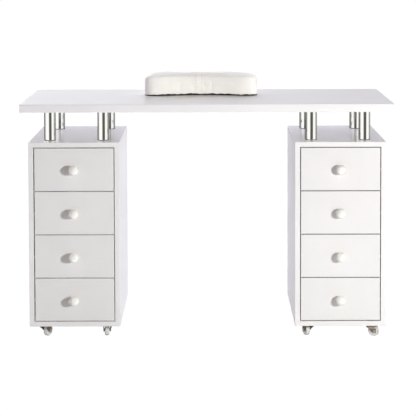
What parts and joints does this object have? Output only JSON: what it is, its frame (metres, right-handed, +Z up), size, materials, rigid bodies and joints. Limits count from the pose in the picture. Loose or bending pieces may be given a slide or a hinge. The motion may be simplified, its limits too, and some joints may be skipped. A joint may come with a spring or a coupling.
{
  "type": "manicure table",
  "caption": "Manicure table: long flat top raised on chrome pillars over twin drawer pedestals on swivel castors, with a loose padded hand cushion.",
  "frame": {"origin": "on the floor under the centre of the tabletop", "axes": "+Z up, -Y the side the drawers open to, +X along the tabletop to the right when facing the drawers"},
  "size_m": [1.2, 0.4575, 0.838],
  "materials": {
    "white_lacquer": "satin",
    "white_hardboard": "matte",
    "drawer_melamine": "satin",
    "knob_lacquer": "gloss",
    "chrome": "polished",
    "zinc_steel": "satin",
    "castor_steel": "satin",
    "castor_tread": "satin",
    "black_plastic": "matte",
    "white_plastic": "satin",
    "beech": "matte",
    "cushion_leather": "satin"
  },
  "bodies": {
    "frame": {"tabletop": "white_lacquer", "pillar_tubes": "chrome", "pillar_end_plugs": "black_plastic", "pillar_bolts_and_studs": "zinc_steel", "left_cabinet_top_board": "white_lacquer", "left_cabinet_bottom_board": "white_lacquer", "left_cabinet_outer_side_board": "white_lacquer", "left_cabinet_inner_side_board": "white_lacquer", "left_cabinet_back_panel": "white_hardboard", "right_cabinet_top_board": "white_lacquer", "right_cabinet_bottom_board": "white_lacquer", "right_cabinet_outer_side_board": "white_lacquer", "right_cabinet_inner_side_board": "white_lacquer", "right_cabinet_back_panel": "white_hardboard", "carcass_dowels": "beech", "castor_plates": "castor_steel", "castor_plate_screws": "zinc_steel", "drawer_runner_strips": "white_plastic"},
    "drawer_l1": {"drawer_l1_front": "white_lacquer", "drawer_l1_box": "drawer_melamine", "drawer_l1_knob": "knob_lacquer"},
    "drawer_l2": {"drawer_l2_front": "white_lacquer", "drawer_l2_box": "drawer_melamine", "drawer_l2_knob": "knob_lacquer"},
    "drawer_l3": {"drawer_l3_front": "white_lacquer", "drawer_l3_box": "drawer_melamine", "drawer_l3_knob": "knob_lacquer"},
    "drawer_l4": {"drawer_l4_front": "white_lacquer", "drawer_l4_box": "drawer_melamine", "drawer_l4_knob": "knob_lacquer"},
    "drawer_r1": {"drawer_r1_front": "white_lacquer", "drawer_r1_box": "drawer_melamine", "drawer_r1_knob": "knob_lacquer"},
    "drawer_r2": {"drawer_r2_front": "white_lacquer", "drawer_r2_box": "drawer_melamine", "drawer_r2_knob": "knob_lacquer"},
    "drawer_r3": {"drawer_r3_front": "white_lacquer", "drawer_r3_box": "drawer_melamine", "drawer_r3_knob": "knob_lacquer"},
    "drawer_r4": {"drawer_r4_front": "white_lacquer", "drawer_r4_box": "drawer_melamine", "drawer_r4_knob": "knob_lacquer"},
    "castor_l1_fork": {"castor_l1_fork": "castor_steel"},
    "castor_l1_wheel": {"castor_l1_wheel": "castor_tread"},
    "castor_l2_fork": {"castor_l2_fork": "castor_steel"},
    "castor_l2_wheel": {"castor_l2_wheel": "castor_tread"},
    "castor_l3_fork": {"castor_l3_fork": "castor_steel"},
    "castor_l3_wheel": {"castor_l3_wheel": "castor_tread"},
    "castor_l4_fork": {"castor_l4_fork": "castor_steel"},
    "castor_l4_wheel": {"castor_l4_wheel": "castor_tread"},
    "castor_r1_fork": {"castor_r1_fork": "castor_steel"},
    "castor_r1_wheel": {"castor_r1_wheel": "castor_tread"},
    "castor_r2_fork": {"castor_r2_fork": "castor_steel"},
    "castor_r2_wheel": {"castor_r2_wheel": "castor_tread"},
    "castor_r3_fork": {"castor_r3_fork": "castor_steel"},
    "castor_r3_wheel": {"castor_r3_wheel": "castor_tread"},
    "castor_r4_fork": {"castor_r4_fork": "castor_steel"},
    "castor_r4_wheel": {"castor_r4_wheel": "castor_tread"},
    "cushion": {"cushion_pad": "cushion_leather", "cushion_base_board": "black_plastic"}
  },
  "joints": [
    {"name": "drawer_l1_slide", "type": "slide", "parent": "frame", "child": "drawer_l1", "axis": [0, -1, 0], "range_m": [0, 0.25]},
    {"name": "drawer_l2_slide", "type": "slide", "parent": "frame", "child": "drawer_l2", "axis": [0, -1, 0], "range_m": [0, 0.25]},
    {"name": "drawer_l3_slide", "type": "slide", "parent": "frame", "child": "drawer_l3", "axis": [0, -1, 0], "range_m": [0, 0.25]},
    {"name": "drawer_l4_slide", "type": "slide", "parent": "frame", "child": "drawer_l4", "axis": [0, -1, 0], "range_m": [0, 0.25]},
    {"name": "drawer_r1_slide", "type": "slide", "parent": "frame", "child": "drawer_r1", "axis": [0, -1, 0], "range_m": [0, 0.25]},
    {"name": "drawer_r2_slide", "type": "slide", "parent": "frame", "child": "drawer_r2", "axis": [0, -1, 0], "range_m": [0, 0.25]},
    {"name": "drawer_r3_slide", "type": "slide", "parent": "frame", "child": "drawer_r3", "axis": [0, -1, 0], "range_m": [0, 0.25]},
    {"name": "drawer_r4_slide", "type": "slide", "parent": "frame", "child": "drawer_r4", "axis": [0, -1, 0], "range_m": [0, 0.25]},
    {"name": "castor_l1_swivel", "type": "hinge", "parent": "frame", "child": "castor_l1_fork", "pos_m": [-0.531, -0.1505, 0.04], "axis": [0, 0, 1], "continuous": true},
    {"name": "castor_l1_roll", "type": "hinge", "parent": "castor_l1_fork", "child": "castor_l1_wheel", "pos_m": [-0.52464, -0.13803, 0.018], "axis": [-0.891, 0.454, 0], "continuous": true},
    {"name": "castor_l2_swivel", "type": "hinge", "parent": "frame", "child": "castor_l2_fork", "pos_m": [-0.329, -0.1505, 0.04], "axis": [0, 0, 1], "continuous": true},
    {"name": "castor_l2_roll", "type": "hinge", "parent": "castor_l2_fork", "child": "castor_l2_wheel", "pos_m": [-0.33071, -0.1366, 0.018], "axis": [-0.9925, -0.1219, 0], "continuous": true},
    {"name": "castor_l3_swivel", "type": "hinge", "parent": "frame", "child": "castor_l3_fork", "pos_m": [-0.531, 0.1505, 0.04], "axis": [0, 0, 1], "continuous": true},
    {"name": "castor_l3_roll", "type": "hinge", "parent": "castor_l3_fork", "child": "castor_l3_wheel", "pos_m": [-0.52028, 0.1595, 0.018], "axis": [-0.6428, 0.766, 0], "continuous": true},
    {"name": "castor_l4_swivel", "type": "hinge", "parent": "frame", "child": "castor_l4_fork", "pos_m": [-0.329, 0.1505, 0.04], "axis": [0, 0, 1], "continuous": true},
    {"name": "castor_l4_roll", "type": "hinge", "parent": "castor_l4_fork", "child": "castor_l4_wheel", "pos_m": [-0.32609, 0.16419, 0.018], "axis": [-0.9781, 0.2079, 0], "continuous": true},
    {"name": "castor_r1_swivel", "type": "hinge", "parent": "frame", "child": "castor_r1_fork", "pos_m": [0.329, -0.1505, 0.04], "axis": [0, 0, 1], "continuous": true},
    {"name": "castor_r1_roll", "type": "hinge", "parent": "castor_r1_fork", "child": "castor_r1_wheel", "pos_m": [0.32376, -0.13752, 0.018], "axis": [-0.9272, -0.3746, 0], "continuous": true},
    {"name": "castor_r2_swivel", "type": "hinge", "parent": "frame", "child": "castor_r2_fork", "pos_m": [0.531, -0.1505, 0.04], "axis": [0, 0, 1], "continuous": true},
    {"name": "castor_r2_roll", "type": "hinge", "parent": "castor_r2_fork", "child": "castor_r2_wheel", "pos_m": [0.54499, -0.15001, 0.018], "axis": [-0.0349, 0.9994, 0], "continuous": true},
    {"name": "castor_r3_swivel", "type": "hinge", "parent": "frame", "child": "castor_r3_fork", "pos_m": [0.329, 0.1505, 0.04], "axis": [0, 0, 1], "continuous": true},
    {"name": "castor_r3_roll", "type": "hinge", "parent": "castor_r3_fork", "child": "castor_r3_wheel", "pos_m": [0.32038, 0.16153, 0.018], "axis": [-0.788, -0.6157, 0], "continuous": true},
    {"name": "castor_r4_swivel", "type": "hinge", "parent": "frame", "child": "castor_r4_fork", "pos_m": [0.531, 0.1505, 0.04], "axis": [0, 0, 1], "continuous": true},
    {"name": "castor_r4_roll", "type": "hinge", "parent": "castor_r4_fork", "child": "castor_r4_wheel", "pos_m": [0.54379, 0.15619, 0.018], "axis": [-0.4067, 0.9135, 0], "continuous": true},
    {"name": "cushion_lift", "type": "slide", "parent": "frame", "child": "cushion", "axis": [0, 0, 1], "range_m": [0, 0.15]}
  ]
}
